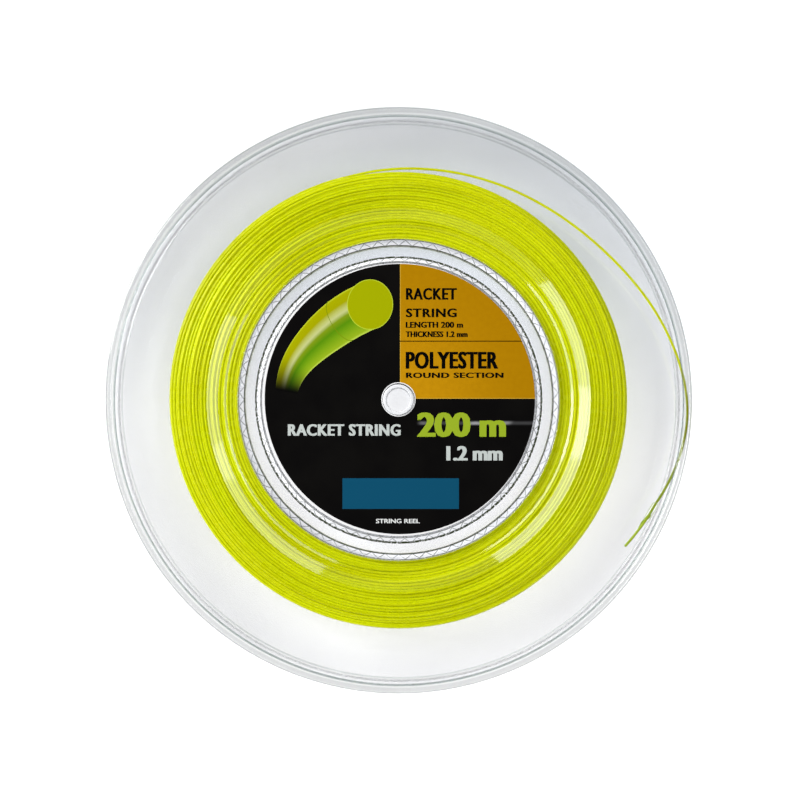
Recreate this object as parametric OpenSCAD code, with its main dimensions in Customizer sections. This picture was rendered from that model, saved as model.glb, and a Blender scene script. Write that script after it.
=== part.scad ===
// Reel of racket string. Two clear moulded halves, each a flange with half of a hollow drum,
// are welded back to back at the middle of the drum. A liner is pressed in from each side for
// the spindle, a printed label is stuck on each side, and 200 m of string fill the groove.
// The spindle axis is +Z and the front is up. The origin is on the axis, in the plane that
// the rear rim rests on. All sizes are in millimetres.

/* [Flanges] */
// Outside diameter of the rims
reel_d = 270; // [268:1:290]
// Width of the groove between the flanges
groove_w = 18; // [17:0.5:20]
// Thickness of the clear moulding
wall_t = 1.6; // [1.4:0.1:1.8]
// Radial width of the rim bead
bead_w = 3.4; // [3:0.1:4]
// Height of the rim bead above the flange's outer face
bead_proud = 2.4; // [2:0.1:3]
// Height of the rim bead's lip inside the groove
bead_lip = 1; // [0.6:0.1:1.2]
// Radius where the outer zone of the flange begins
zone_r = 121.5; // [115:0.5:122]
// Extra thickness of the outer zone
zone_step = 0.3; // [0.1:0.05:0.4]
// Extra thickness of the collar zone next to the hub
collar_step = 0.45; // [0.2:0.05:0.6]
// Radius where the collar zone begins to taper down to the flange
collar_r = 83.4; // [80:0.1:86]
// Radius where that taper ends
taper_r = 87.2; // [87:0.1:90]

/* [Hub] */
// Radius of the drum where it meets the flange, on the string's side
drum_r = 74.6; // [74.2:0.1:76]
// Radius of the drum at its waist, on the string's side
waist_r = 73.3; // [73:0.1:74]
// Radius of the ring channel's mouth, outer edge
mouth_out_r = 74; // [73.8:0.1:74.1]
// Radius of the ring channel's mouth, inner edge
mouth_in_r = 63.6; // [63.4:0.1:64.4]
// Radius of the ring channel's floor, outer edge
floor_out_r = 71.9; // [71:0.1:72]
// Radius of the ring channel's floor, inner edge
floor_in_r = 67; // [66:0.1:68]
// Outer radius of the tube around the spindle hole
boss_r = 8.4; // [8:0.1:10]

/* [Spindle hole] */
// Radius of the spindle hole through the liners
bore_r = 5.5; // [4:0.1:5.8]
// Outer radius of a liner's sleeve
sleeve_r = 6.6; // [6.4:0.1:6.8]
// Outer radius of a liner's head
head_r = 7.1; // [6.9:0.05:7.2]
// Radius of the recess that the head sits in
recess_r = 7.35; // [7.25:0.05:7.6]
// Depth of that recess
recess_depth = 0.8; // [0.5:0.1:1]
// Height of the liner's head above the flange's outer face
head_proud = 1; // [0.5:0.1:1.5]

/* [Labels] */
// Radius of a label
label_r = 62.9; // [60:0.1:63]
// Radius of the hole in a label
label_hole_r = 7.9; // [7.7:0.1:9]
// Thickness of a label
label_t = 0.2; // [0.1:0.05:0.4]

/* [String] */
// Diameter of the string
string_d = 1.2; // [1.1:0.05:1.3]
// Outer radius of the wound string
pack_r = 106.2; // [100:0.1:106.3]

/* [String slot] */
// Direction of the slot's middle, in degrees round the axis
slot_angle = -24.1; // [-26:0.1:-22]
// Distance of the slot's middle from the axis
slot_at_r = 127.2; // [126:0.1:128]
// Direction that the slot runs in, in degrees
slot_heading = 58.7; // [56:0.1:62]
// Length of the slot
slot_len = 10; // [9.8:0.1:12]
// Width of the slot
slot_w = 2.4; // [2:0.1:3]

/* [Hidden] */
$fn = 96;

clear = [0.86, 0.9, 0.93, 0.35];
lime = [0.8, 0.87, 0.05];

rim_r = reel_d / 2;
outer_face = groove_w / 2 + wall_t;         // heights below are counted from the middle plane
rim_top = outer_face + bead_proud;
mid_z = rim_top;                            // height of the middle plane above the origin
bead_r = 1.2;                               // rounding of the bead's outer corners
lip_r = 0.9;                                // rounding of the bead's corners in the groove
chamfer = 0.3;                              // chamfer at the mouth of the spindle hole
head_chamfer = 0.4;                         // chamfer round a liner's head

ring_step = 4.9;                            // longest step between two rings of the tail's tube
tube_sides = 8;

// Route of the string's free end, from where it leaves the winding to its cut end.
// Each point is [degrees round the axis, distance from the axis, height above the origin].
tail_route = [
    [104, 106.9, 15], [97, 107.4, 15.1], [90, 108, 15.3], [82, 108.7, 15.5], [74, 109.6, 15.8],
    [66, 110.7, 16.1], [58, 112, 16.5], [50, 113.7, 16.9], [42, 115.9, 17.3], [35, 118.4, 17.7],
    [28, 121.5, 18.1], [21, 125, 18.5], [15, 127.9, 18.8], [9, 130.6, 19.1], [4, 132.5, 19.3],
    [-1, 133.7, 19.5], [-6, 133.8, 19.6], [-11, 132.8, 19.8], [-15, 131.4, 20.2],
    [-18, 130.1, 20.6], [-20.3, 129, 20.9], [-22.2, 128, 21.4], [-24.1, 127.2, 22.9],
    [-26, 126.4, 24.5], [-28.2, 125.6, 24.7], [-30.6, 124.8, 24.6], [-33, 124, 24.6]
];

// Points of an arc in the plane of the profile, from angle a0 to a1.
function arc(x, y, r, a0, a1, steps = 6) =
    [for (i = [0:steps]) let (a = a0 + (a1 - a0) * i / steps) [x + r * cos(a), y + r * sin(a)]];

// Section of a half, as [distance from the axis, height above the middle plane].
half_outline = concat(
    [[sleeve_r, 0], [boss_r, 0], [boss_r, groove_w / 2]],
    [[mouth_in_r - wall_t, groove_w / 2], [floor_in_r - wall_t, 0], [waist_r, 0]],
    [[drum_r, groove_w / 2], [rim_r - bead_w, groove_w / 2]],
    arc(rim_r - bead_w + lip_r, groove_w / 2 - bead_lip + lip_r, lip_r, 180, 270),
    arc(rim_r - lip_r, groove_w / 2 - bead_lip + lip_r, lip_r, 270, 360),
    arc(rim_r - bead_r, rim_top - bead_r, bead_r, 0, 90),
    arc(rim_r - bead_w + bead_r, rim_top - bead_r, bead_r, 90, 180),
    [[rim_r - bead_w, outer_face + zone_step], [zone_r + zone_step, outer_face + zone_step]],
    [[zone_r, outer_face], [taper_r, outer_face], [collar_r, outer_face + collar_step]],
    [[mouth_out_r, outer_face + collar_step]],
    [[floor_out_r, wall_t], [floor_in_r, wall_t], [mouth_in_r, outer_face]],
    [[recess_r, outer_face], [recess_r, outer_face - recess_depth]],
    [[sleeve_r, outer_face - recess_depth]]
);

// Section of a liner: a sleeve that ends at the middle plane, with a head on the outside.
liner_top = outer_face + head_proud;
liner_outline = [
    [bore_r, 0], [sleeve_r, 0], [sleeve_r, outer_face - recess_depth],
    [head_r, outer_face - recess_depth], [head_r, liner_top - head_chamfer],
    [head_r - head_chamfer, liner_top], [bore_r + chamfer, liner_top], [bore_r, liner_top - chamfer]
];

// Places a shape made above the middle plane on the front of the reel, or turned over on the rear.
module front() { translate([0, 0, mid_z]) children(); }
module rear() { translate([0, 0, mid_z]) mirror([0, 0, 1]) children(); }

module half() { rotate_extrude() polygon(half_outline); }
module liner() { rotate_extrude() polygon(liner_outline); }

module label() {
    translate([0, 0, outer_face]) difference() {
        cylinder(h = label_t, r = label_r);
        translate([0, 0, -1]) cylinder(h = label_t + 2, r = label_hole_r);
    }
}

// Slot with round ends, cut down through the flange where the string comes out.
module slot() {
    run = (slot_len - slot_w) / 2;
    rotate([0, 0, slot_angle]) translate([slot_at_r, 0, 0])
        rotate([0, 0, slot_heading - slot_angle]) translate([0, 0, groove_w / 2 - 1]) {
            translate([-run, -slot_w / 2, 0]) cube([2 * run, slot_w, wall_t + 3]);
            for (end = [-run, run])
                translate([end, 0, 0]) cylinder(h = wall_t + 3, r = slot_w / 2);
        }
}

module front_half() {
    color(clear) front() difference() { half(); slot(); }
}

module rear_half() { color(clear) rear() half(); }
module front_liner() { color("white") front() liner(); }
module rear_liner() { color("white") rear() liner(); }
module front_label() { color([0.08, 0.08, 0.09]) front() label(); }
module rear_label() { color([0.12, 0.12, 0.13]) rear() label(); }

// All the wound string as one ring that fills the groove from the drum outwards.
module string_winding() {
    color(lime) front() rotate_extrude() polygon([
        [waist_r, 0], [drum_r, -groove_w / 2], [pack_r, -groove_w / 2],
        [pack_r, groove_w / 2], [drum_r, groove_w / 2]
    ]);
}

// A point of the route as [x, y, z].
function place(p) = [p[1] * cos(p[0]), p[1] * sin(p[0]), p[2]];
// Direction of the smooth curve at each point, scaled to a step of one millimetre.
function slope(pts, i) =
    let (a = pts[max(i - 1, 0)], b = pts[i], c = pts[min(i + 1, len(pts) - 1)])
    let (before = norm(b - a), after = norm(c - b))
    i == 0 ? (c - b) / after :
    i == len(pts) - 1 ? (b - a) / before :
    ((b - a) / before * after + (c - b) / after * before) / (before + after);
// Point at share t of the curved step from a to b, with slopes da and db at its ends.
function curved(a, b, da, db, t) =
    let (l = norm(b - a))
    a * (1 + 2 * t) * (1 - t) * (1 - t) + da * l * t * (1 - t) * (1 - t) +
    b * t * t * (3 - 2 * t) + db * l * t * t * (t - 1);
// The route cut into short steps along one smooth curve.
function smooth(pts) = [
    for (i = [0:len(pts) - 2])
        let (steps = ceil(norm(pts[i + 1] - pts[i]) / ring_step))
        for (k = [0:steps - 1])
            curved(pts[i], pts[i + 1], slope(pts, i), slope(pts, i + 1), k / steps),
    pts[len(pts) - 1]
];
// One ring of the tube round point c, square to direction d.
function ring(c, d, r) =
    let (side = cross(d, [0, 0, 1]) / norm(cross(d, [0, 0, 1])), up = cross(side, d) / norm(d))
    [for (k = [0:tube_sides - 1]) let (a = 360 * k / tube_sides)
        c + r * (side * cos(a) + up * sin(a))];

// The free end of the string: off the winding, out to the rim and through the slot.
module string_tail() {
    path = smooth([for (p = tail_route) place(p)]);
    last = len(path) - 1;
    rings = [for (i = [0:last])
        each ring(path[i], path[min(i + 1, last)] - path[max(i - 1, 0)], string_d / 2)];
    walls = [for (i = [0:last - 1], k = [0:tube_sides - 1])
        let (n = (k + 1) % tube_sides, a = i * tube_sides)
        [a + k, a + tube_sides + k, a + tube_sides + n, a + n]];
    color(lime) polyhedron(rings, concat(walls,
        [[for (k = [0:tube_sides - 1]) k]],
        [[for (k = [tube_sides - 1:-1:0]) last * tube_sides + k]]));
}

front_half();
rear_half();
front_liner();
rear_liner();
front_label();
rear_label();
string_winding();
string_tail();
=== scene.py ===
"""Looks of the string reel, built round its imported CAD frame.

The reel lies on its rear rim with the spindle axis along +Z and its front label up. Lengths are in
metres. Millimetre sizes are written as a number times MM. Heights inside a half are counted from
the middle plane, where the two halves are welded.
"""

import math

import bmesh
import bpy
import numpy as np
from mathutils import Matrix, Vector
from mathutils.geometry import delaunay_2d_cdt


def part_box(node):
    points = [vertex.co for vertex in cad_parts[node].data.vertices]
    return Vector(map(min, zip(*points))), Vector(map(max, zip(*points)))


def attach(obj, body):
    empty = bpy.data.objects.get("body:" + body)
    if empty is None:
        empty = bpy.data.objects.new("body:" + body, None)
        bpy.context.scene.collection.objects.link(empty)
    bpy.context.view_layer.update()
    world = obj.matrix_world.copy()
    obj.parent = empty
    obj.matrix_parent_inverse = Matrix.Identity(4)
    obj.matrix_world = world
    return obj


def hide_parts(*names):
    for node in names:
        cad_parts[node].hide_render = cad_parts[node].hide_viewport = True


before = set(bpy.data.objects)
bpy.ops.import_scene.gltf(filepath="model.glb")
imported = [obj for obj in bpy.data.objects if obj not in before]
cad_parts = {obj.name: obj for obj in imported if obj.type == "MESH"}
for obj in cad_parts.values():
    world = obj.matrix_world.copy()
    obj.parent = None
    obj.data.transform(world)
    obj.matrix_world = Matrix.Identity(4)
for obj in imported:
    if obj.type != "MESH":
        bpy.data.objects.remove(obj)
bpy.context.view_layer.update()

MM = 0.001
BODY = "root"

# Places and sizes that come from the frame
half_low, half_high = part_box("front_half")
rim_r = half_high.x                       # outer radius of the rims
mid_z = half_low.z                        # height of the middle plane
rim_top = half_high.z - mid_z             # top of the rim bead, above the middle plane
label_low, label_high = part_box("front_label")
label_r = label_high.x
outer_face = label_low.z - mid_z          # outer face of the flange, above the middle plane
label_t = label_high.z - label_low.z
liner_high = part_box("front_liner")[1]
head_r = liner_high.x
liner_top = liner_high.z - mid_z
winding_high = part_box("string_winding")[1]
inner_face = winding_high.z - mid_z       # face of the flange that the string lies against
pack_r = winding_high.x                   # outer radius of the wound string

# Sizes of the moulding and the string
string_d = 1.2 * MM
drum_r = 74.6 * MM                        # drum's radius at the flanges
waist_r = 73.3 * MM                       # drum's radius at the middle plane
wall_t = 1.6 * MM
mouth_out_r, mouth_in_r = 74 * MM, 63.6 * MM
floor_out_r, floor_in_r = 71.9 * MM, 67 * MM
boss_r = 8.4 * MM
sleeve_r = 6.6 * MM
recess_r, recess_depth = 7.35 * MM, 0.8 * MM
bore_r = 5.5 * MM
label_hole_r = 7.45 * MM
bead_w = 3.4 * MM
bead_lip = 1 * MM
zone_r, zone_step = 121.5 * MM, 0.3 * MM
collar_r, taper_r, collar_step = 83.2 * MM, 88.6 * MM, 0.64 * MM


# ---------------------------------------------------------------------------------- camera

def look_at(thing, place, aim):
    """Puts a camera or lamp at place, pointing at aim, with its own +Y towards the row's +Y."""
    back = (Vector(place) - Vector(aim)).normalized()
    right = Vector((0, 1, 0)).cross(back).normalized()
    turned = Matrix((right, back.cross(right), back)).transposed()
    thing.matrix_world = Matrix.Translation(place) @ turned.to_4x4()


def make_camera():
    """Looks straight down on the reel, from a little towards the viewer."""
    distance = 700 * MM                   # from the rim's top to the lens
    width_seen = 367.4 * MM               # width of the picture at the rim's top
    offset = Vector((4 * MM, -12 * MM))   # where the lens is, off the spindle axis
    data = bpy.data.cameras.new("camera")
    data.lens = data.sensor_width * distance / width_seen
    data.clip_start = 0.01
    camera = bpy.data.objects.new("camera", data)
    bpy.context.collection.objects.link(camera)
    look_at(camera, (offset.x, offset.y, half_high.z + distance),
            (0.7 * MM, -0.3 * MM, half_high.z))
    bpy.context.scene.camera = camera


make_camera()


# ---------------------------------------------------------------------------- node helpers

class Nodes:
    """Short names for building one material's node tree."""

    def __init__(self, name):
        self.material = bpy.data.materials.new(name)
        self.material.use_nodes = True
        self.tree = self.material.node_tree
        self.shader = self.tree.nodes["Principled BSDF"]
        self.output = self.tree.nodes["Material Output"]

    def add(self, kind, **settings):
        node = self.tree.nodes.new(kind)
        for key, value in settings.items():
            setattr(node, key, value)
        return node

    def link(self, source, target):
        self.tree.links.new(source, target)

    def feed(self, socket, value):
        """Sets a socket to a number or colour, or links a node's output to it."""
        if isinstance(value, bpy.types.NodeSocket):
            self.link(value, socket)
        elif value is not None:
            socket.default_value = value

    def math(self, operation, a, b=None):
        node = self.add("ShaderNodeMath", operation=operation)
        self.feed(node.inputs[0], a)
        self.feed(node.inputs[1], b)
        return node.outputs[0]

    def plus(self, a, b):
        return self.math("ADD", a, b)

    def minus(self, a, b):
        return self.math("SUBTRACT", a, b)

    def times(self, a, b):
        return self.math("MULTIPLY", a, b)

    def ramp(self, value, low, high, to_low=0.0, to_high=1.0, smooth=True):
        """Maps value from low..high to to_low..to_high and holds it there outside."""
        node = self.add("ShaderNodeMapRange")
        node.interpolation_type = "SMOOTHSTEP" if smooth else "LINEAR"
        for socket, number in zip(node.inputs[:5], (value, low, high, to_low, to_high)):
            self.feed(socket, number)
        return node.outputs[0]

    def mix(self, share, a, b):
        node = self.add("ShaderNodeMix", data_type="RGBA")
        self.feed(node.inputs[0], share)
        self.feed(node.inputs[6], a)
        self.feed(node.inputs[7], b)
        return node.outputs[2]

    def noise(self, scale, detail=2.0, vector=None):
        node = self.add("ShaderNodeTexNoise")
        node.inputs["Scale"].default_value = scale
        node.inputs["Detail"].default_value = detail
        self.feed(node.inputs["Vector"], vector if vector else self.place())
        return node.outputs["Fac"]

    def place(self):
        """The point's place in metres. Every piece's origin is the row's origin."""
        return self.add("ShaderNodeTexCoord").outputs["Object"]

    def xyz(self):
        node = self.add("ShaderNodeSeparateXYZ")
        self.link(self.place(), node.inputs[0])
        return node.outputs

    def combine(self, x, y, z):
        node = self.add("ShaderNodeCombineXYZ")
        for socket, value in zip(node.inputs, (x, y, z)):
            self.feed(socket, value)
        return node.outputs[0]

    def stops(self, value, colours):
        """A colour read off a row of (position, colour) stops."""
        node = self.add("ShaderNodeValToRGB")
        marks = node.color_ramp.elements
        while len(marks) < len(colours):
            marks.new(0.5)
        for mark, (at, colour) in zip(marks, colours):
            mark.position = at
            mark.color = colour
        self.link(value, node.inputs[0])
        return node.outputs[0]

    def band(self, value, middle, half_width, soft):
        """1 where value is within half_width of middle, falling to 0 over soft."""
        off = self.math("ABSOLUTE", self.minus(value, middle))
        return self.ramp(off, half_width, half_width + soft, 1, 0)

    def radius(self, x, y):
        squares = self.plus(self.times(x, x), self.times(y, y))
        return self.math("SQRT", squares)

    def bump(self, height, strength, distance):
        node = self.add("ShaderNodeBump")
        node.inputs["Strength"].default_value = strength
        node.inputs["Distance"].default_value = distance
        self.link(height, node.inputs["Height"])
        return node.outputs["Normal"]


paint_share = 0.63                        # paint's reflectance against its brightness on screen


def rgb(red, green, blue):
    """The paint that looks this colour on screen, 0 to 255, under the studio's light."""
    def linear(value):
        value /= 255
        return value / 12.92 if value <= 0.04045 else ((value + 0.055) / 1.055) ** 2.4
    return (*(paint_share * linear(value) for value in (red, green, blue)), 1.0)


# ------------------------------------------------------------------------------- materials

def clear_plastic():
    """Clear polystyrene: thin walls that let the view straight through, mirror a little at a
    right angle and more at a glancing one, and darken where they are seen along the wall."""
    n = Nodes("clear_plastic")
    x, y, z = n.xyz()
    r = n.radius(x, y)
    facing = n.add("ShaderNodeLayerWeight")
    facing.inputs["Blend"].default_value = 0.5
    glance = facing.outputs["Facing"]
    mirror = n.plus(0.05, n.times(0.75, n.math("POWER", glance, 5.0)))
    depth = n.ramp(glance, 0.62, 0.99)
    cloud = n.noise(14.0)
    face_on = n.mix(n.ramp(cloud, 0.3, 0.7), (0.958, 0.9595, 0.9635, 1), (0.946, 0.9475, 0.953, 1))
    # Painted shade: the thick front bead is tinted greyer, and the foot of each bead gets a dark
    # line, standing in for the darkening that refraction in the beads gives
    front = n.ramp(z, mid_z, mid_z + 0.001)
    bead = n.times(n.ramp(r, 131.7 * MM, 132.4 * MM), front)
    face_on = n.mix(bead, face_on, (0.745, 0.75, 0.755, 1))
    foot_shade = n.times(n.band(r, 131.3 * MM, 0.15 * MM, 0.3 * MM), n.ramp(front, 0.0, 1.0, 0.3, 1.0))
    face_on = n.mix(foot_shade, face_on, (0.52, 0.56, 0.55, 1))
    tint = n.mix(depth, face_on, (0.42, 0.45, 0.46, 1))
    through = n.add("ShaderNodeBsdfTransparent")
    n.link(tint, through.inputs["Color"])
    gloss = n.add("ShaderNodeBsdfGlossy")
    gloss.inputs["Color"].default_value = (1, 1, 1, 1)
    scuffs = n.noise(1.0, 3.0, n.combine(n.times(r, 9000.0), n.times(x, 60.0), y))
    n.link(n.ramp(scuffs, 0.35, 0.8, 0.03, 0.09), gloss.inputs["Roughness"])
    n.link(n.bump(n.noise(55.0, 1.0), 0.25, 0.00008), gloss.inputs["Normal"])
    both = n.add("ShaderNodeMixShader")
    n.link(mirror, both.inputs[0])
    n.link(through.outputs[0], both.inputs[1])
    n.link(gloss.outputs[0], both.inputs[2])
    n.link(both.outputs[0], n.output.inputs["Surface"])
    return n.material


def wall_lining(name, foot_shade, lip_shade, dotted):
    """A knurled channel wall that glows white, painted light standing in for the light that the
    knurling scatters, with painted shade as dark lines foot_shade and lip_shade high where it
    meets the channel's floor and the reel's face."""
    n = Nodes(name)
    s = n.shader
    x, y, z = n.xyz()
    around = n.math("ARCTAN2", y, x)
    height = n.math("ABSOLUTE", n.minus(z, mid_z))
    dots = n.noise(1.0, 1.0, n.combine(n.times(around, 75.0), n.times(height, 300.0), 0.0))
    # Painted shade: dark lines at the wall's foot and at its lip, both broken up by the knurl's
    # dots
    low = n.ramp(height, wall_t + foot_shade, wall_t + foot_shade + 0.3 * MM, 1, 0)
    low = n.times(low, n.ramp(dots, 0.36, 0.46, 1.0 - dotted, 1.0))
    high = n.ramp(height, outer_face - lip_shade - 0.3 * MM, outer_face - lip_shade)
    high = n.times(high, n.ramp(dots, 0.35, 0.5, 0.45, 0.85))
    white = n.mix(n.ramp(n.noise(160.0), 0.3, 0.7), (0.49, 0.495, 0.52, 1), (0.53, 0.53, 0.545, 1))
    colour = n.mix(n.math("MAXIMUM", low, high), white, (0.02, 0.025, 0.012, 1))
    n.link(colour, s.inputs["Base Color"])
    # Painted light: the lining glows in its own colour, standing in for the floor light that its
    # knurling scatters
    n.link(colour, s.inputs["Emission Color"])
    s.inputs["Emission Strength"].default_value = 0.92
    s.inputs["Roughness"].default_value = 0.8
    s.inputs["Specular IOR Level"].default_value = 0.03
    return n.material


def rib_plastic():
    """The moulded zigzag ribs, which look darker than the walls that they stand on."""
    n = Nodes("rib_plastic")
    shade = n.ramp(n.noise(90.0), 0.35, 0.65)
    n.link(n.mix(shade, (0.12, 0.13, 0.11, 1), (0.42, 0.44, 0.46, 1)),
           n.shader.inputs["Base Color"])
    n.shader.inputs["Roughness"].default_value = 0.2
    return n.material


def slot_edge_reflection(name, low, high):
    """Painted reflection: clear plastic painted the colour of the string that it mirrors beside
    it.
    """
    n = Nodes(name)
    n.link(n.mix(n.ramp(n.noise(260.0), 0.35, 0.65), low, high), n.shader.inputs["Base Color"])
    n.shader.inputs["Roughness"].default_value = 0.2
    return n.material


def lime_string():
    """Extruded polyester: a saturated fluorescent lime that varies slowly along its length. It is
    painted darker and greener where the single strand lies by itself near its end, painted shade,
    and glows a little, partly its fluorescence and partly painted light that lifts the shade
    between the strands."""
    n = Nodes("lime_string")
    s = n.shader
    x, y, z = n.xyz()
    r = n.radius(x, y)
    across, along = n.math("DIVIDE", x, r), n.math("DIVIDE", y, r)
    lane = n.noise(1.0, 2.0, n.combine(across, along, n.times(n.plus(r, z), 620.0)))
    broad = n.noise(1.0, 1.0, n.combine(across, along, n.times(r, 150.0)))
    colour = n.mix(n.ramp(lane, 0.36, 0.64), (0.435, 0.46, 0.0, 1), (0.51, 0.565, 0.001, 1))
    colour = n.mix(n.ramp(broad, 0.4, 0.7, 0.0, 0.5), colour, (0.60, 0.635, 0.004, 1))
    # Painted shade: the single strand near the free end is darker and greener
    alone_shade = n.times(n.ramp(r, 112 * MM, 118 * MM), n.ramp(y, 0.03, -0.055))
    colour = n.mix(alone_shade, colour, (0.165, 0.225, 0.011, 1))
    n.link(colour, s.inputs["Base Color"])
    # Painted light: the string glows a little, partly its fluorescence and partly light that lifts
    # the shade between the strands
    n.link(colour, s.inputs["Emission Color"])
    s.inputs["Emission Strength"].default_value = 0.3
    n.link(n.ramp(n.noise(240.0), 0.3, 0.7, 0.22, 0.34), s.inputs["Roughness"])
    s.inputs["Specular IOR Level"].default_value = 0.4
    s.inputs["Specular Tint"].default_value = (0.8, 0.9, 0.25, 1)
    return n.material


def white_plastic():
    """Liners: smooth white plastic with a faint moulded mottle."""
    n = Nodes("white_plastic")
    s = n.shader
    shade = n.ramp(n.noise(180.0), 0.3, 0.7)
    n.link(n.mix(shade, (0.57, 0.58, 0.60, 1), (0.61, 0.615, 0.63, 1)), s.inputs["Base Color"])
    n.link(n.ramp(n.noise(500.0), 0.3, 0.7, 0.24, 0.36), s.inputs["Roughness"])
    n.link(n.bump(n.noise(900.0), 0.2, 0.00004), s.inputs["Normal"])
    return n.material


CLEAR = clear_plastic()
OUTER_LINING = wall_lining("outer_lining", 1.4 * MM, 0.9 * MM, 0.15)
INNER_LINING = wall_lining("inner_lining", 3.2 * MM, 0.8 * MM, 0.75)
RIB = rib_plastic()
# Painted reflections of the string in the slot's polished edges and end
SLOT_EDGE_REFLECTION = slot_edge_reflection("slot_edge_reflection", (0.42, 0.50, 0.22, 1), (0.62, 0.66, 0.52, 1))
SLOT_WEDGE_REFLECTION = slot_edge_reflection("slot_wedge_reflection", (0.17, 0.25, 0.01, 1), (0.26, 0.36, 0.02, 1))
LIME = lime_string()
WHITE = white_plastic()


# ---------------------------------------------------------------------------- mesh helpers

def finish_piece(piece, material, slot, *replaced):
    """Gives a new piece its material and body, and hides the CAD nodes it stands for. slot is not
    used.
    """
    piece.data.materials.append(material)
    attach(piece, BODY)
    if replaced:
        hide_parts(*replaced)
    return piece


def mesh_object(name, points, faces, smooth=True):
    mesh = bpy.data.meshes.new(name)
    mesh.from_pydata([tuple(p) for p in points], [], [tuple(f) for f in faces])
    mesh.validate()
    if smooth:
        mesh.polygons.foreach_set("use_smooth", [True] * len(mesh.polygons))
    piece = bpy.data.objects.new(name, mesh)
    bpy.context.collection.objects.link(piece)
    return piece


def fillet(corners, steps=5):
    """Rounds an outline of [radius, height, fillet radius] corners into points."""
    points = []
    for i, (r, h, size) in enumerate(corners):
        here = Vector((r, h))
        if size <= 0:
            points.append(here)
            continue
        back = Vector(corners[i - 1][:2]) - here
        ahead = Vector(corners[(i + 1) % len(corners)][:2]) - here
        spare = min(back.length, ahead.length)
        half_angle = back.angle(ahead) / 2
        reach = size / math.tan(half_angle)
        centre = here + (back.normalized() + ahead.normalized()).normalized() \
            * size / math.sin(half_angle)
        start = here + back.normalized() * reach - centre
        end = here + ahead.normalized() * reach - centre
        turn = start.angle_signed(end)
        # A point just off each end of the arc keeps the flat beside it shading flat
        hold = min(0.12 * MM, 0.25 * (spare - reach))
        points.append(centre + start + back.normalized() * hold)
        for k in range(steps + 1):
            a = -turn * k / steps
            points.append(centre + Vector((start.x * math.cos(a) - start.y * math.sin(a),
                                           start.x * math.sin(a) + start.y * math.cos(a))))
        points.append(centre + end + ahead.normalized() * hold)
    return [(p.x, p.y) for p in points]


def lathe(name, outline, side=1, segments=360):
    """A closed ring whose section is outline, in [radius, height above the middle plane].
    side is 1 for the front of the reel and -1 for the rear, where it is turned over."""
    count = len(outline)
    points = []
    for k in range(segments):
        a = 2 * math.pi * k / segments
        points += [(r * math.cos(a), r * math.sin(a), mid_z + side * h) for r, h in outline]
    faces = []
    for k in range(segments):
        a, b = k * count, (k + 1) % segments * count
        for i in range(count):
            j = (i + 1) % count
            quad = (a + i, b + i, b + j, a + j)
            faces.append(quad if side > 0 else quad[::-1])
    piece = mesh_object(name, points, faces)
    fix_normals(piece)
    return piece


def fix_normals(piece, sharp=math.radians(35)):
    """Turns all faces outwards and keeps the shading crisp across real corners."""
    bm = bmesh.new()
    bm.from_mesh(piece.data)
    bmesh.ops.recalc_face_normals(bm, faces=bm.faces)
    bm.to_mesh(piece.data)
    bm.free()
    piece.data.set_sharp_from_angle(angle=sharp)


def tube_rings(path, radius, sides):
    """Rings of a tube that follows path, an array of points that circles the spindle axis."""
    outward = path * np.array([1, 1, 0])
    outward /= np.linalg.norm(outward, axis=1)[:, None]
    angles = 2 * math.pi * np.arange(sides) / sides
    ring = np.cos(angles)[None, :, None] * outward[:, None, :]
    ring = ring + np.sin(angles)[None, :, None] * np.array([0, 0, 1.0])
    return path[:, None, :] + radius * ring


def tube(name, path, radius, sides):
    """A closed tube with flat ends along path."""
    points = tube_rings(path, radius, sides).reshape(-1, 3)
    rings = len(path)
    i, k = np.meshgrid(np.arange(rings - 1) * sides, np.arange(sides), indexing="ij")
    n = (k + 1) % sides
    faces = np.stack([i + k, i + n, i + sides + n, i + sides + k], axis=-1).reshape(-1, 4)
    caps = [list(range(sides)), [(rings - 1) * sides + s for s in reversed(range(sides))]]
    return mesh_object(name, points.tolist(), faces.tolist() + caps)


# ------------------------------------------------------------------------- loose string end

# Route of the string's free end: degrees round the axis, distance from the axis and height.
tail_route = [
    (104, 0.1069, 0.015), (97, 0.1074, 0.0151), (90, 0.108, 0.0153), (82, 0.1087, 0.0155),
    (74, 0.1096, 0.0158), (66, 0.1107, 0.0161), (58, 0.112, 0.0165), (50, 0.1137, 0.0169),
    (42, 0.1159, 0.0173), (35, 0.1184, 0.0177), (28, 0.1215, 0.0181), (21, 0.125, 0.0185),
    (15, 0.1279, 0.0188), (9, 0.1306, 0.0191), (4, 0.1325, 0.0193), (-1, 0.1337, 0.0195),
    (-6, 0.1338, 0.0196), (-11, 0.1328, 0.0198), (-15, 0.1314, 0.0202), (-18, 0.1301, 0.0206),
    (-20.3, 0.129, 0.0209), (-22.2, 0.128, 0.0214), (-24.1, 0.1272, 0.0229),
    (-26, 0.1264, 0.0245), (-28.2, 0.1256, 0.0247), (-30.6, 0.1248, 0.0246),
    (-33, 0.124, 0.0246),
]
tail_points = [Vector((r * math.cos(math.radians(a)), r * math.sin(math.radians(a)), z))
               for a, r, z in tail_route]


def slope(points, i):
    """Direction of the smooth curve at point i."""
    if i == 0:
        return (points[1] - points[0]).normalized()
    if i == len(points) - 1:
        return (points[-1] - points[-2]).normalized()
    before, after = points[i] - points[i - 1], points[i + 1] - points[i]
    return (before / before.length * after.length + after / after.length * before.length) \
        / (before.length + after.length)


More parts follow.
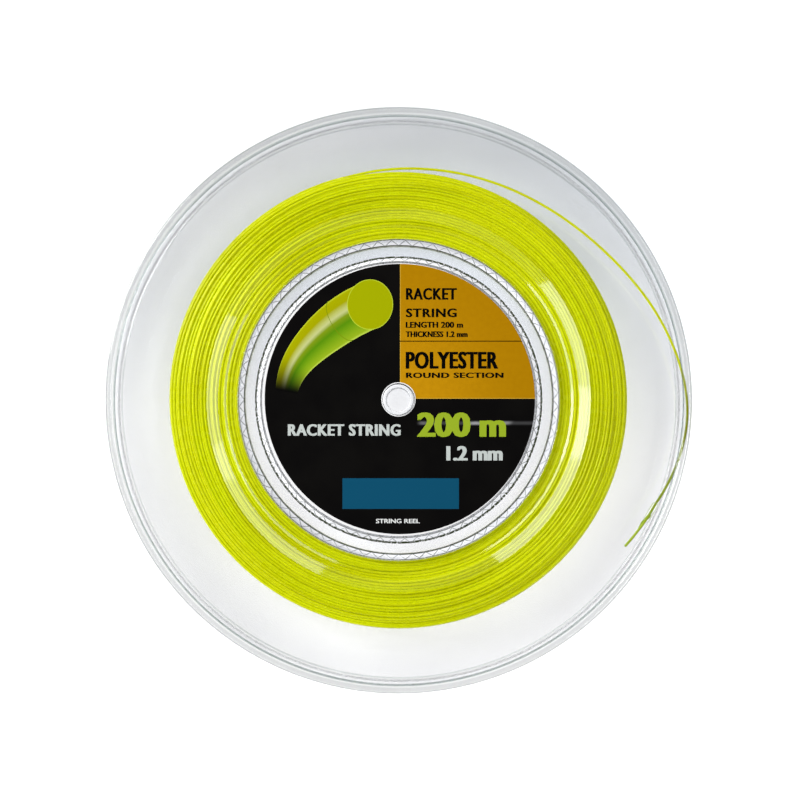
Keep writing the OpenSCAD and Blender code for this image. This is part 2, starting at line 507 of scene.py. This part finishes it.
def smooth_path(points, step):
    """The points joined by one smooth curve and cut into short steps."""
    path = []
    for i in range(len(points) - 1):
        a, b = points[i], points[i + 1]
        length = (b - a).length
        from_a, to_b = slope(points, i) * length, slope(points, i + 1) * length
        pieces = math.ceil(length / step)
        for k in range(pieces):
            t = k / pieces
            path.append(a * (1 + 2 * t) * (1 - t) ** 2 + from_a * t * (1 - t) ** 2
                        + b * t * t * (3 - 2 * t) + to_b * t * t * (t - 1))
    return path + [points[-1]]


def round_wire(name, path, thickness, resolution):
    """A round curve piece along path, and its spline."""
    curve = bpy.data.curves.new(name, "CURVE")
    curve.dimensions = "3D"
    curve.bevel_depth = thickness / 2
    curve.bevel_resolution = resolution
    spline = curve.splines.new("POLY")
    spline.points.add(len(path) - 1)
    for point, place in zip(spline.points, path):
        point.co = (*place, 1)
    spline.use_smooth = True
    piece = bpy.data.objects.new(name, curve)
    bpy.context.collection.objects.link(piece)
    return piece, spline


def make_tail():
    path = smooth_path(tail_points, 1.2 * MM)
    piece, _ = round_wire("string_free_end", path, string_d, 4)
    piece.data.use_fill_caps = True
    finish_piece(piece, LIME, "lime_string", "string_tail")


make_tail()


# ------------------------------------------------------------------------------ the winding

layers = 24                               # layers of string on the drum
turns_per_layer = 15.25                  # turns across the groove, the turn round included
climb_turns = 0.7                         # part of each layer spent at the flange, climbing
turn_points = 128                         # points round one turn
layer_groups = 6                          # pieces that the winding is cut into
wound_d = 1.36 * MM                       # strands are drawn slightly full, to close the gaps
crown = 0.42                              # how much narrower the outermost layer is


def wander(rng, turns, size, per_turn=1.3):
    """A smooth random drift along the winding, of about the given size."""
    knots = rng.normal(0, size, int(turns * per_turn) + 4)
    at = np.linspace(0, len(knots) - 1.001, int(turns * turn_points) + 1)
    low = at.astype(int)
    t = at - low
    t = t * t * (3 - 2 * t)
    return knots[low] * (1 - t) + knots[low + 1] * t


def winding_path():
    """All the turns of string, from the drum outwards: across the groove and back, one layer
    up at each flange, to the point where the free end leaves the winding."""
    rng = np.random.default_rng(17)
    first_r = drum_r + wound_d / 2
    last_r = pack_r - wound_d / 2
    climb = (last_r - first_r) / (layers - 1)
    reach = inner_face - wound_d / 2 - 0.02 * MM
    exit_angle = math.radians(tail_route[0][0])
    exit_r, exit_z = tail_route[0][1], tail_route[0][2]
    run = turns_per_layer - climb_turns
    # The last layer stops where the free end leaves it
    last_reach = (1 - crown) * reach
    last_share = (exit_z - mid_z + last_reach) / (2 * last_reach)
    forward = (layers - 1) % 2 == 0
    last_turns = run * (last_share if forward else 1 - last_share)
    total = (layers - 1) * turns_per_layer + last_turns
    count = int(total * turn_points)
    turn = np.arange(count + 1) / turn_points
    turn += total - turn[-1]
    layer = np.minimum((turn / turns_per_layer).astype(int), layers - 1)
    into = turn - layer * turns_per_layer
    across = np.clip(into / run, 0, 1)
    across = np.where(layer % 2 == 0, across, 1 - across)
    rise = np.clip((into - run) / climb_turns, 0, 1)
    rise = rise * rise * (3 - 2 * rise)
    r = first_r + climb * (layer + rise)
    # The first and last layers don't reach the flanges quite as far as those between them
    first = np.clip((4 - layer) / 4, 0, 1)
    last = np.clip((layer - layers + 9) / 8, 0, 1)
    short = 0.4 * first ** 2 + last ** 2
    layer_reach = reach * (1 - crown * short)
    z = (2 * across - 1) * layer_reach
    # The drum has a waist, so the first layers dip in the middle of the groove
    waist = (drum_r - waist_r) * (1 - np.abs(z) / inner_face)
    r -= waist * np.exp(-layer / 4)
    left = total - turn
    r += wander(rng, total + 1, 0.045 * MM)[:len(turn)] * np.clip(left / 2, 0, 1)
    z += wander(rng, total + 1, 0.06 * MM)[:len(turn)] * np.clip(left / 2, 0, 1)
    z = np.clip(z, -reach, reach)
    # The last half turn rides up on the turn below it and leads into the free end
    lift = np.clip(1 - left / 0.5, 0, 1)
    lift = lift * lift * (3 - 2 * lift)
    r = r * (1 - lift) + exit_r * lift
    z = z * (1 - lift) + (exit_z - mid_z) * lift
    angle = exit_angle + 2 * math.pi * left
    return np.stack([r * np.cos(angle), r * np.sin(angle), mid_z + z], axis=1)


def make_winding():
    path = winding_path()
    cuts = np.linspace(0, len(path) - 1, layer_groups + 1).astype(int)
    for k in range(layer_groups):
        part = path[cuts[k]:cuts[k + 1] + 1]
        piece = tube(f"wound_string_{k + 1}", part, wound_d / 2, 8)
        finish_piece(piece, LIME, "lime_string", "string_winding")


make_winding()


# ------------------------------------------------------------------------------ the halves

def half_outline():
    """Section of a half: hub tube, disc, ring channel, flange and rim bead, corners rounded."""
    bead_in = rim_r - bead_w
    gap = 0.02 * MM                       # leaves the two welded faces apart
    ledge = outer_face + collar_step
    return fillet([
        (sleeve_r, gap, 0),
        (boss_r, gap, 0),
        (boss_r, inner_face, 0.8 * MM),
        (mouth_in_r - wall_t, inner_face, 0.8 * MM),
        (floor_in_r - wall_t, gap, 0.2 * MM),
        (waist_r, gap, 0.2 * MM),
        (drum_r, inner_face, 0.3 * MM),
        (bead_in, inner_face, 0.3 * MM),
        (bead_in, inner_face - bead_lip, 0.45 * MM),
        (rim_r, inner_face - bead_lip, 0.9 * MM),
        (rim_r, rim_top, 1.2 * MM),
        (bead_in, rim_top, 1.2 * MM),
        (bead_in, outer_face + zone_step, 0.4 * MM),
        (zone_r + 0.3 * zone_step, outer_face + zone_step, 0.06 * MM),
        (zone_r, outer_face, 0.06 * MM),
        (taper_r, outer_face, 1.5 * MM),
        (collar_r, ledge, 1.5 * MM),
        (80.6 * MM, ledge, 0.4 * MM),
        (79.3 * MM, ledge + 0.13 * MM, 0.4 * MM),
        (mouth_out_r, ledge + 0.13 * MM, 0.35 * MM),
        (floor_out_r, wall_t, 0.5 * MM),
        (floor_in_r, wall_t, 0.5 * MM),
        (mouth_in_r, outer_face, 0.3 * MM),
        (recess_r, outer_face, 0.15 * MM),
        (recess_r, outer_face - recess_depth, 0),
        (sleeve_r, outer_face - recess_depth, 0),
    ])


# The slot that the string's free end comes out through
slot_centre = 127.2 * MM * Vector((math.cos(math.radians(-24.1)), math.sin(math.radians(-24.1))))
slot_heading = math.radians(58.7)
slot_length, slot_width = 10 * MM, 2.4 * MM


def slot_loop(length, width):
    """Outline of the slot, as [x, y], at the given length and width."""
    centre, heading = slot_centre, slot_heading
    arc_steps = 12
    loop = []
    for end in (0, 1):
        for k in range(arc_steps + 1):
            a = math.pi * (k / arc_steps - 0.5 + end)
            u = (length - width) / 2 * (1 - 2 * end) + width / 2 * math.cos(a)
            v = width / 2 * math.sin(a)
            loop.append((centre.x + u * math.cos(heading) - v * math.sin(heading),
                         centre.y + u * math.sin(heading) + v * math.cos(heading)))
    return loop


def cut_slot(piece):
    """Cuts the slot with round ends through the front flange."""
    loop = slot_loop(slot_length, slot_width)
    base, top = mid_z + inner_face - 1 * MM, mid_z + rim_top
    points = [(px, py, z) for z in (base, top) for px, py in loop]
    n = len(loop)
    faces = [list(range(n))[::-1], list(range(n, 2 * n))]
    faces += [(i, (i + 1) % n, n + (i + 1) % n, n + i) for i in range(n)]
    cutter = mesh_object("slot_cutter", points, faces, smooth=False)
    cut = piece.modifiers.new("slot", "BOOLEAN")
    cut.object = cutter
    cut.operation = "DIFFERENCE"
    cut.solver = "EXACT"
    bpy.context.view_layer.update()
    made = bpy.data.meshes.new_from_object(
        piece.evaluated_get(bpy.context.evaluated_depsgraph_get()))
    piece.modifiers.clear()
    piece.data = made
    bpy.data.objects.remove(cutter)


def ring_of(name, path, thickness, material):
    """A closed round bead along path."""
    piece, spline = round_wire(name, path, thickness, 1)
    spline.use_cyclic_u = True
    finish_piece(piece, material, "clear_moulding")


def zigzag(name, side, wall_top, wall_floor):
    """A thin moulded rib that zigzags between two [radius, height] edges of a channel wall."""
    teeth, steps, rib_r = 72, 4, 0.17 * MM
    top, floor = Vector(wall_top), Vector(wall_floor)
    inset = 0.1
    low, high = floor.lerp(top, inset), floor.lerp(top, 1 - inset)
    path = []
    for i in range(teeth * 2):
        a, b = (low, high) if i % 2 == 0 else (high, low)
        for k in range(steps):
            at = a.lerp(b, k / steps)
            angle = math.pi * (i + k / steps) / teeth
            path.append((at.x * math.cos(angle), at.x * math.sin(angle), mid_z + side * at.y))
    ring_of(name, path, 2 * rib_r, RIB)


def lining(name, side, wall_top, wall_floor, into, material):
    """A thin white skin on a channel wall. into is the side of the wall that it lies on."""
    t = 0.06 * MM * into
    piece = lathe(name, [(wall_floor[0], wall_floor[1] + 0.1 * MM), wall_top,
                         (wall_top[0] + t, wall_top[1]),
                         (wall_floor[0] + t, wall_floor[1] + 0.1 * MM)], side)
    finish_piece(piece, material, "clear_moulding")


def slot_place(along, side):
    """[x, y] of a place given in millimetres along the slot and to the side of its middle."""
    ahead = Vector((math.cos(slot_heading), math.sin(slot_heading)))
    place = slot_centre + ahead * along * MM + Vector((-ahead.y, ahead.x)) * side * MM
    return place.x, place.y


def make_slot_edge():
    """The slot's polished edges, painted with a reflection of the string inside."""
    # Painted reflection: the free end shows in the polished end of the slot as a green wedge
    wedge = [(0.8, 0.3), (-1.8, -0.95), (-6.4, 0.1), (-11.5, 1.1), (-6.1, 1.6)]
    points = [(*slot_place(u, v), mid_z + outer_face + zone_step - depth * MM)
              for depth in (0.05, 0.15) for u, v in wedge]
    n = len(wedge)
    faces = [tuple(range(n)), tuple(range(n, 2 * n))]
    faces += [(i, (i + 1) % n, n + (i + 1) % n, n + i) for i in range(n)]
    piece = mesh_object("slot_wedge_reflection", points, faces, smooth=False)
    fix_normals(piece)
    finish_piece(piece, SLOT_WEDGE_REFLECTION, "clear_moulding")
    loop = slot_loop(slot_length + 0.1 * MM, slot_width + 0.1 * MM)
    for name, height in (("slot_edge_top_reflection", outer_face + zone_step),
                         ("slot_edge_foot_reflection", inner_face)):
        path = [(px, py, mid_z + height) for px, py in loop]
        ring_of(name, path, 0.2 * MM, SLOT_EDGE_REFLECTION)


def make_halves():
    outline = half_outline()
    for name, node, side in (("front_moulding", "front_half", 1),
                             ("rear_moulding", "rear_half", -1)):
        piece = lathe(name, outline, side)
        if side > 0:
            cut_slot(piece)
            piece.data.set_sharp_from_angle(angle=math.radians(35))
        piece.data.materials.clear()
        finish_piece(piece, CLEAR, "clear_moulding", node)
        end = "front" if side > 0 else "rear"
        for place, into, top_r, floor_r, skin in (
                ("outer", -1, mouth_out_r, floor_out_r, OUTER_LINING),
                ("inner", 1, mouth_in_r, floor_in_r, INNER_LINING)):
            top = (top_r + 0.02 * MM * into, outer_face - 0.1 * MM)
            floor = (floor_r + 0.02 * MM * into, wall_t)
            lining(f"{end}_{place}_lining", side, top, floor, into, skin)
            zigzag(f"{end}_{place}_zigzag", side, (top[0] + 0.1 * MM * into, top[1]),
                   (floor[0] + 0.1 * MM * into, floor[1]))


make_halves()
make_slot_edge()


def make_liners():
    head = liner_top
    seat = outer_face - recess_depth
    outline = fillet([
        (bore_r, 0.02 * MM, 0), (sleeve_r, 0.02 * MM, 0), (sleeve_r, seat, 0), (head_r, seat, 0),
        (head_r, head, 0.45 * MM), (bore_r, head, 0.35 * MM),
    ])
    for name, node, side in (("front_spindle_liner", "front_liner", 1),
                             ("rear_spindle_liner", "rear_liner", -1)):
        piece = lathe(name, outline, side, 96)
        # The liner sits a little to one side in its recess
        piece.data.transform(Matrix.Translation((-0.1 * MM, -0.12 * MM, 0)))
        finish_piece(piece, WHITE, "white_liner", node)


make_liners()


# -------------------------------------------------------------------------------- the labels

def print_finish(n):
    """The even gloss of varnished print."""
    n.link(n.ramp(n.noise(300.0), 0.3, 0.7, 0.06, 0.09), n.shader.inputs["Roughness"])
    n.shader.inputs["Specular IOR Level"].default_value = 0.22
    return n.material


def front_print():
    """Black print with an ochre quadrant and a white border, slightly off centre."""
    n = Nodes("front_print")
    x, y, z = n.xyz()
    px, py = n.minus(x, 0.7 * MM), n.minus(y, 0.35 * MM)
    edge = 0.06 * MM
    inside = n.ramp(n.radius(n.minus(x, 0.6 * MM), n.minus(y, 0.28 * MM)),
                    62.3 * MM - edge, 62.3 * MM + edge, 1, 0)
    quadrant = n.times(n.ramp(px, -edge, edge), n.ramp(py, -edge, edge))
    near_corner = n.ramp(n.radius(px, py), 5 * MM, 60 * MM, 1, 0)
    ochre = n.mix(near_corner, rgb(186, 133, 6), rgb(208, 150, 14))
    ochre = n.mix(n.ramp(n.noise(420.0), 0.2, 0.8, 0, 0.2), ochre, rgb(160, 110, 4))
    margin = n.math("MINIMUM", px, py)
    ochre = n.mix(n.ramp(margin, 0.1 * MM, 0.45 * MM, 0.75, 0), ochre, rgb(232, 190, 70))
    ochre = n.mix(n.band(py, 26.5 * MM, 0.16 * MM, 0.14 * MM), ochre, rgb(66, 46, 6))
    # A thin pale flare runs behind the large word
    streak = n.times(n.band(y, -10.9 * MM, 0, 1.3 * MM), n.ramp(x, 8 * MM, 14 * MM))
    streak = n.times(streak, n.ramp(n.noise(95.0, 0.0), 0.42, 0.62, 0.1, 0.8))
    black = n.mix(n.ramp(n.noise(60.0), 0.3, 0.7), rgb(14, 13, 13), rgb(18, 17, 16))
    black = n.mix(streak, black, rgb(190, 190, 192))
    colour = n.mix(quadrant, black, ochre)
    inside = n.times(inside, n.ramp(n.radius(x, y), 7.85 * MM, 7.95 * MM))
    n.link(n.mix(inside, rgb(255, 255, 255), colour), n.shader.inputs["Base Color"])
    return print_finish(n)


def rear_print():
    """Plain black print with one ochre ring and a white border."""
    n = Nodes("rear_print")
    x, y, z = n.xyz()
    r = n.radius(x, y)
    colour = n.mix(n.band(r, 54 * MM, 1.1 * MM, 0.1 * MM), rgb(12, 12, 12), rgb(184, 132, 12))
    inside = n.ramp(r, 61.35 * MM, 61.45 * MM, 1, 0)
    n.link(n.mix(inside, rgb(240, 240, 242), colour), n.shader.inputs["Base Color"])
    return print_finish(n)


def ink(name, colour):
    """Print in one colour."""
    n = Nodes(name)
    n.shader.inputs["Base Color"].default_value = colour
    return print_finish(n)


def picture_ink(name, across, fade_from):
    """Print shaded across a strip, which fades to black towards its far end."""
    n = Nodes(name)
    split = n.add("ShaderNodeSeparateXYZ")
    n.link(n.add("ShaderNodeUVMap", uv_map="strip").outputs[0], split.inputs[0])
    colour = n.stops(split.outputs[1], across)
    fade = n.ramp(split.outputs[0], fade_from, 1.0)
    n.link(n.mix(fade, colour, rgb(11, 10, 11)), n.shader.inputs["Base Color"])
    return print_finish(n)


PRINT_Z = mid_z + outer_face + label_t    # face of the front label
SHEET = 0.008 * MM                        # step between two layers of print


def print_piece(name, points, faces, material, layer):
    """Flat print on the front label, from points in millimetres."""
    z = PRINT_Z + SHEET * layer
    piece = mesh_object(name, [(px * MM, py * MM, z) for px, py in points], faces, smooth=False)
    return finish_piece(piece, material, "front_print")


def merged(points, faces):
    """The area that the faces cover together, in triangles that don't overlap."""
    turned = []
    for face in faces:
        corners = [points[i] for i in face]
        area = sum(a[0] * b[1] - b[0] * a[1] for a, b in zip(corners, corners[1:] + corners[:1]))
        if abs(area) > 1e-6:
            turned.append(list(face) if area > 0 else list(face)[::-1])
    enlarge = 10.0                        # keeps close points apart in single precision
    made = delaunay_2d_cdt([Vector(p) * enlarge for p in points], [], turned, 1, 1e-5)
    kept = [tuple(face) for face, sources in zip(made[2], made[5]) if sources]
    return [tuple(p / enlarge) for p in made[0]], kept


def type_set(name, words, box, material, heavier, spacing=1.0):
    """A row of plain type, fitted to box (left, right, bottom, top of the capitals, in
    millimetres). heavier thickens the upright strokes by that much."""
    data = bpy.data.curves.new(name, "FONT")
    data.body = words
    data.offset = 0.012
    data.resolution_u = 3
    data.space_character = spacing
    text = bpy.data.objects.new(name, data)
    bpy.context.collection.objects.link(text)
    bpy.context.view_layer.update()
    made = bpy.data.meshes.new_from_object(
        text.evaluated_get(bpy.context.evaluated_depsgraph_get()))
    places = np.array([v.co[:2] for v in made.vertices])
    polygons = [tuple(f.vertices) for f in made.polygons]
    bpy.data.objects.remove(text)
    low, high = places.min(axis=0), places.max(axis=0)
    low[1], high[1] = 0, 0.729            # foot and top of this face's capitals
    left, right, bottom, top = box
    scale = np.array([(right - left - heavier) / (high[0] - low[0]),
                      (top - bottom) / (high[1] - low[1])])
    places = (places - low) * scale + np.array([left, bottom])
    points, faces = [], []
    for shift in np.linspace(0, heavier, 4 if heavier > 0.4 else 3):
        start = len(points)
        points += [(px + shift, py + 0.01 * shift) for px, py in places.tolist()]
        faces += [tuple(start + i for i in f) for f in polygons]
    return print_piece(name, *merged(points, faces), material, 1)


def strip(name, centre_line, half_widths, material, layer, uv=True):
    """A flat strip along centre_line, with its length and its width as texture coordinates."""
    path = [Vector(p) for p in centre_line]
    across_count = 12
    points, faces, coords = [], [], []
    for i, (here, half) in enumerate(zip(path, half_widths)):
        along = (path[min(i + 1, len(path) - 1)] - path[max(i - 1, 0)]).normalized()
        side = Vector((along.y, -along.x))
        for k in range(across_count + 1):
            v = k / across_count
            points.append(tuple(here + side * half * (1 - 2 * v)))
            coords.append((i / (len(path) - 1), v))
    for i in range(len(path) - 1):
        for k in range(across_count):
            a = i * (across_count + 1) + k
            faces.append((a, a + 1, a + across_count + 2, a + across_count + 1))
    piece = print_piece(name, points, faces, material, layer)
    if uv:
        layer_uv = piece.data.uv_layers.new(name="strip")
        for loop in piece.data.loops:
            layer_uv.data[loop.index].uv = coords[loop.vertex_index]
    return piece


def disc(name, centre, half_width, half_height, material, layer):
    around = [2 * math.pi * k / 72 for k in range(72)]
    points = [(centre[0] + half_width * math.cos(a), centre[1] + half_height * math.sin(a))
              for a in around]
    return print_piece(name, points, [tuple(range(72))], material, layer)


def make_picture():
    """A printed picture of a short length of string with its cut end towards the viewer."""
    route = [(-13.1, 43.6), (-20.5, 40.2), (-27.4, 35.8), (-33.6, 31), (-39.1, 26), (-43.4, 21.4),
             (-46.8, 16.8), (-49.2, 12.4), (-50.9, 7.6), (-51.6, 3.6)]
    halves = [11, 10.9, 10.5, 9.8, 8.9, 8.0, 7.1, 6.3, 5.6, 5.1]
    # Halve the steps twice so that the picture's edges are smooth
    for _ in range(2):
        route = [p for a, b in zip(route, route[1:])
                 for p in (a, ((a[0] + b[0]) / 2, (a[1] + b[1]) / 2))] + [route[-1]]
        halves = [h for a, b in zip(halves, halves[1:]) for h in (a, (a + b) / 2)] + [halves[-1]]
        route = [route[0]] + [tuple((a[i] + 2 * b[i] + c[i]) / 4 for i in range(2))
                              for a, b, c in zip(route, route[1:], route[2:])] + [route[-1]]
    body = picture_ink("picture_body", [
        (0.0, rgb(206, 220, 50)), (0.04, rgb(176, 178, 2)), (0.2, rgb(172, 172, 4)),
        (0.3, rgb(196, 202, 110)), (0.37, rgb(206, 212, 140)), (0.46, rgb(136, 160, 26)),
        (0.6, rgb(92, 148, 14)), (0.74, rgb(122, 168, 22)), (0.95, rgb(158, 188, 34)),
        (1.0, rgb(204, 228, 88))], 0.62)
    strip("printed_string_body", route, halves, body, 1)
    line = ink("picture_line", rgb(126, 148, 16))
    lean = math.radians(32)
    ring = []
    for degrees in range(92, 269, 8):
        u = 4.4 * math.cos(math.radians(degrees))
        v = 10.6 * math.sin(math.radians(degrees))
        ring.append((-26.6 + u * math.cos(lean) - v * math.sin(lean),
                     36.4 + u * math.sin(lean) + v * math.cos(lean)))
    strip("printed_string_ring", ring, [0.14] * len(ring), line, 2, uv=False)
    edge, end = ink("picture_edge", rgb(200, 220, 60)), ink("picture_end", rgb(170, 178, 4))
    disc("printed_string_edge", (-13.1, 43.8), 10.6, 11.6, edge, 2)
    disc("printed_string_end", (-13.1, 43.8), 10.3, 11.3, end, 3)


def make_front_type():
    """Plain, generic wording in the places where such a label carries its print."""
    black = ink("black_ink", rgb(10, 9, 9))
    rows = (("RACKET", (3.4, 26.9, 46.1, 51.6), 0.5, 1.12),
            ("STRING", (3.4, 26.9, 38.0, 42.1), 0.42, 1.12),
            ("LENGTH 200 m", (3.3, 29.8, 33.1, 35.9), 0.36, 1.06),
            ("THICKNESS 1.2 mm", (3.3, 31.9, 28.8, 31.5), 0.36, 1.06),
            ("POLYESTER", (3.3, 46.0, 14.3, 22.3), 0.75, 1.08),
            ("ROUND SECTION", (3.4, 48.4, 9.95, 12.45), 0.42, 1.1))
    for k, (words, box, heavier, spacing) in enumerate(rows):
        type_set(f"print_row_{k + 1}", words, box, black, heavier, spacing)
    pale = ink("pale_ink", rgb(244, 246, 244))
    silver = ink("silver_ink", rgb(205, 212, 208))
    lime = ink("lime_ink", rgb(160, 184, 44))
    type_set("print_use", "RACKET STRING", (-51.0, 1.0, -16.6, -11.2), silver, 0.6, 1.1)
    type_set("print_length", "200 m", (8.5, 49.5, -17.0, -5.6), lime, 1.4)
    type_set("print_thickness", "1.2 mm", (22.0, 48.0, -28.0, -21.2), silver, 0.8)
    panel = [(-25.8, -50.4), (27.8, -50.4), (27.8, -36.3), (-25.8, -36.3)]
    print_piece("print_panel", panel, [(0, 1, 2, 3)], ink("panel_ink", rgb(18, 82, 112)), 1)
    type_set("print_foot", "STRING REEL", (-10.4, 9.8, -56.9, -54.9), pale, 0.1)


def make_labels():
    outline = fillet([
        (label_hole_r, outer_face + 0.005 * MM, 0),
        (label_r, outer_face + 0.005 * MM, 0),
        (label_r, outer_face + label_t, 0.05 * MM),
        (label_hole_r, outer_face + label_t, 0.05 * MM),
    ], steps=2)
    front = lathe("front_printed_label", outline, 1, 240)
    finish_piece(front, front_print(), "front_print", "front_label")
    rear = lathe("rear_printed_label", outline, -1, 240)
    finish_piece(rear, rear_print(), "rear_print", "rear_label")
    make_picture()
    make_front_type()


make_labels()


# ----------------------------------------------------------------------------- floor, lights

def make_stage():
    """A pale paper floor that glows with painted light that varies from place to place."""
    n = Nodes("paper_floor")
    s = n.shader
    shade = n.ramp(n.noise(3.0), 0.3, 0.7)
    n.link(n.mix(shade, (0.70, 0.70, 0.705, 1), (0.715, 0.715, 0.715, 1)), s.inputs["Base Color"])
    s.inputs["Roughness"].default_value = 0.9
    s.inputs["Specular IOR Level"].default_value = 0.1
    x, y, z = n.xyz()
    r = n.radius(x, y)
    # Painted light: the glow is brighter towards the bottom and the right and under the reel and
    # its hub, with painted shade at the lower left, standing in for uneven light and shade seen
    # through the clear reel
    glow = n.plus(n.ramp(y, 0.15, -0.06, 0.03, 0.48), n.ramp(y, 0.0, -0.13, 0.0, 0.08))
    glow = n.plus(glow, n.ramp(r, 0.128, 0.104, 0.0, 0.2))
    glow = n.plus(glow, n.ramp(x, -0.12, 0.12, -0.06, 0.28, smooth=False))
    corner_shade = n.times(n.ramp(x, -0.02, -0.1, 0.0, -0.1), n.ramp(y, 0.0, -0.07))
    hub = n.times(n.ramp(r, 0.078, 0.07), n.ramp(r, 0.008, 0.014))
    hub = n.times(hub, n.ramp(n.minus(y, x), -0.09, 0.08, 0.06, 0.26))
    glow = n.plus(glow, n.plus(corner_shade, hub))
    n.link(n.math("MAXIMUM", glow, 0.0), s.inputs["Emission Strength"])
    n.link(n.mix(n.ramp(y, 0.13, -0.05), (0.9, 0.97, 1.06, 1), (1, 0.99, 0.99, 1)),
           s.inputs["Emission Color"])
    size = 6.0
    floor = mesh_object("floor", [(-size, -size, 0), (size, -size, 0), (size, size, 0),
                                  (-size, size, 0)], [(0, 1, 2, 3)], smooth=False)
    floor.data.materials.append(n.material)


def area_light(name, place, aim, width, height, radiance, turn=0.0):
    """A soft box. radiance is how bright its face looks, and turn spins it about its aim."""
    data = bpy.data.lights.new(name, "AREA")
    data.shape = "RECTANGLE"
    data.size, data.size_y = width, height
    data.energy = radiance * math.pi * width * height
    light = bpy.data.objects.new(name, data)
    bpy.context.collection.objects.link(light)
    look_at(light, place, aim)
    light.matrix_world = light.matrix_world @ Matrix.Rotation(turn, 4, "Z")


def make_sky():
    """A pale dome that is dark right overhead, so that flat faces mirror nothing white."""
    world = bpy.data.worlds.new("studio")
    bpy.context.scene.world = world
    world.use_nodes = True
    tree = world.node_tree
    back = tree.nodes["Background"]
    coords = tree.nodes.new("ShaderNodeTexCoord")
    split = tree.nodes.new("ShaderNodeSeparateXYZ")
    tree.links.new(coords.outputs["Generated"], split.inputs[0])
    ramp = tree.nodes.new("ShaderNodeMapRange")
    ramp.interpolation_type = "SMOOTHSTEP"
    for socket, number in zip(ramp.inputs[1:5], (0.93, 0.965, 0.33, 0.0)):
        socket.default_value = number
    tree.links.new(split.outputs["Z"], ramp.inputs[0])
    tree.links.new(ramp.outputs[0], back.inputs["Strength"])
    back.inputs["Color"].default_value = (0.97, 0.985, 1.0, 1)


def make_lights():
    make_sky()
    target = (0, 0, 0.02)
    # Overhead soft boxes stand in an arc on each side, clear of what the flat faces mirror
    for name, azimuth, length, radiance in (("right_box_1", 13, 0.46, 4.8),
                                            ("right_box_2", -26, 0.5, 4.8),
                                            ("left_box_1", 177, 0.42, 2.8),
                                            ("left_box_2", 218, 0.42, 2.8)):
        a = math.radians(azimuth)
        area_light(name, (0.49 * math.cos(a), 0.49 * math.sin(a), 1.05), target, 0.30, length,
                   radiance, a)
    area_light("key_box", (-1.04, 0.49, 0.62), target, 0.9, 0.6, 17.0)
    area_light("near_box", (0, -1.2, 1.1), target, 1.2, 0.6, 1.5)


make_stage()
make_lights()
bpy.context.scene.view_settings.view_transform = "Standard"
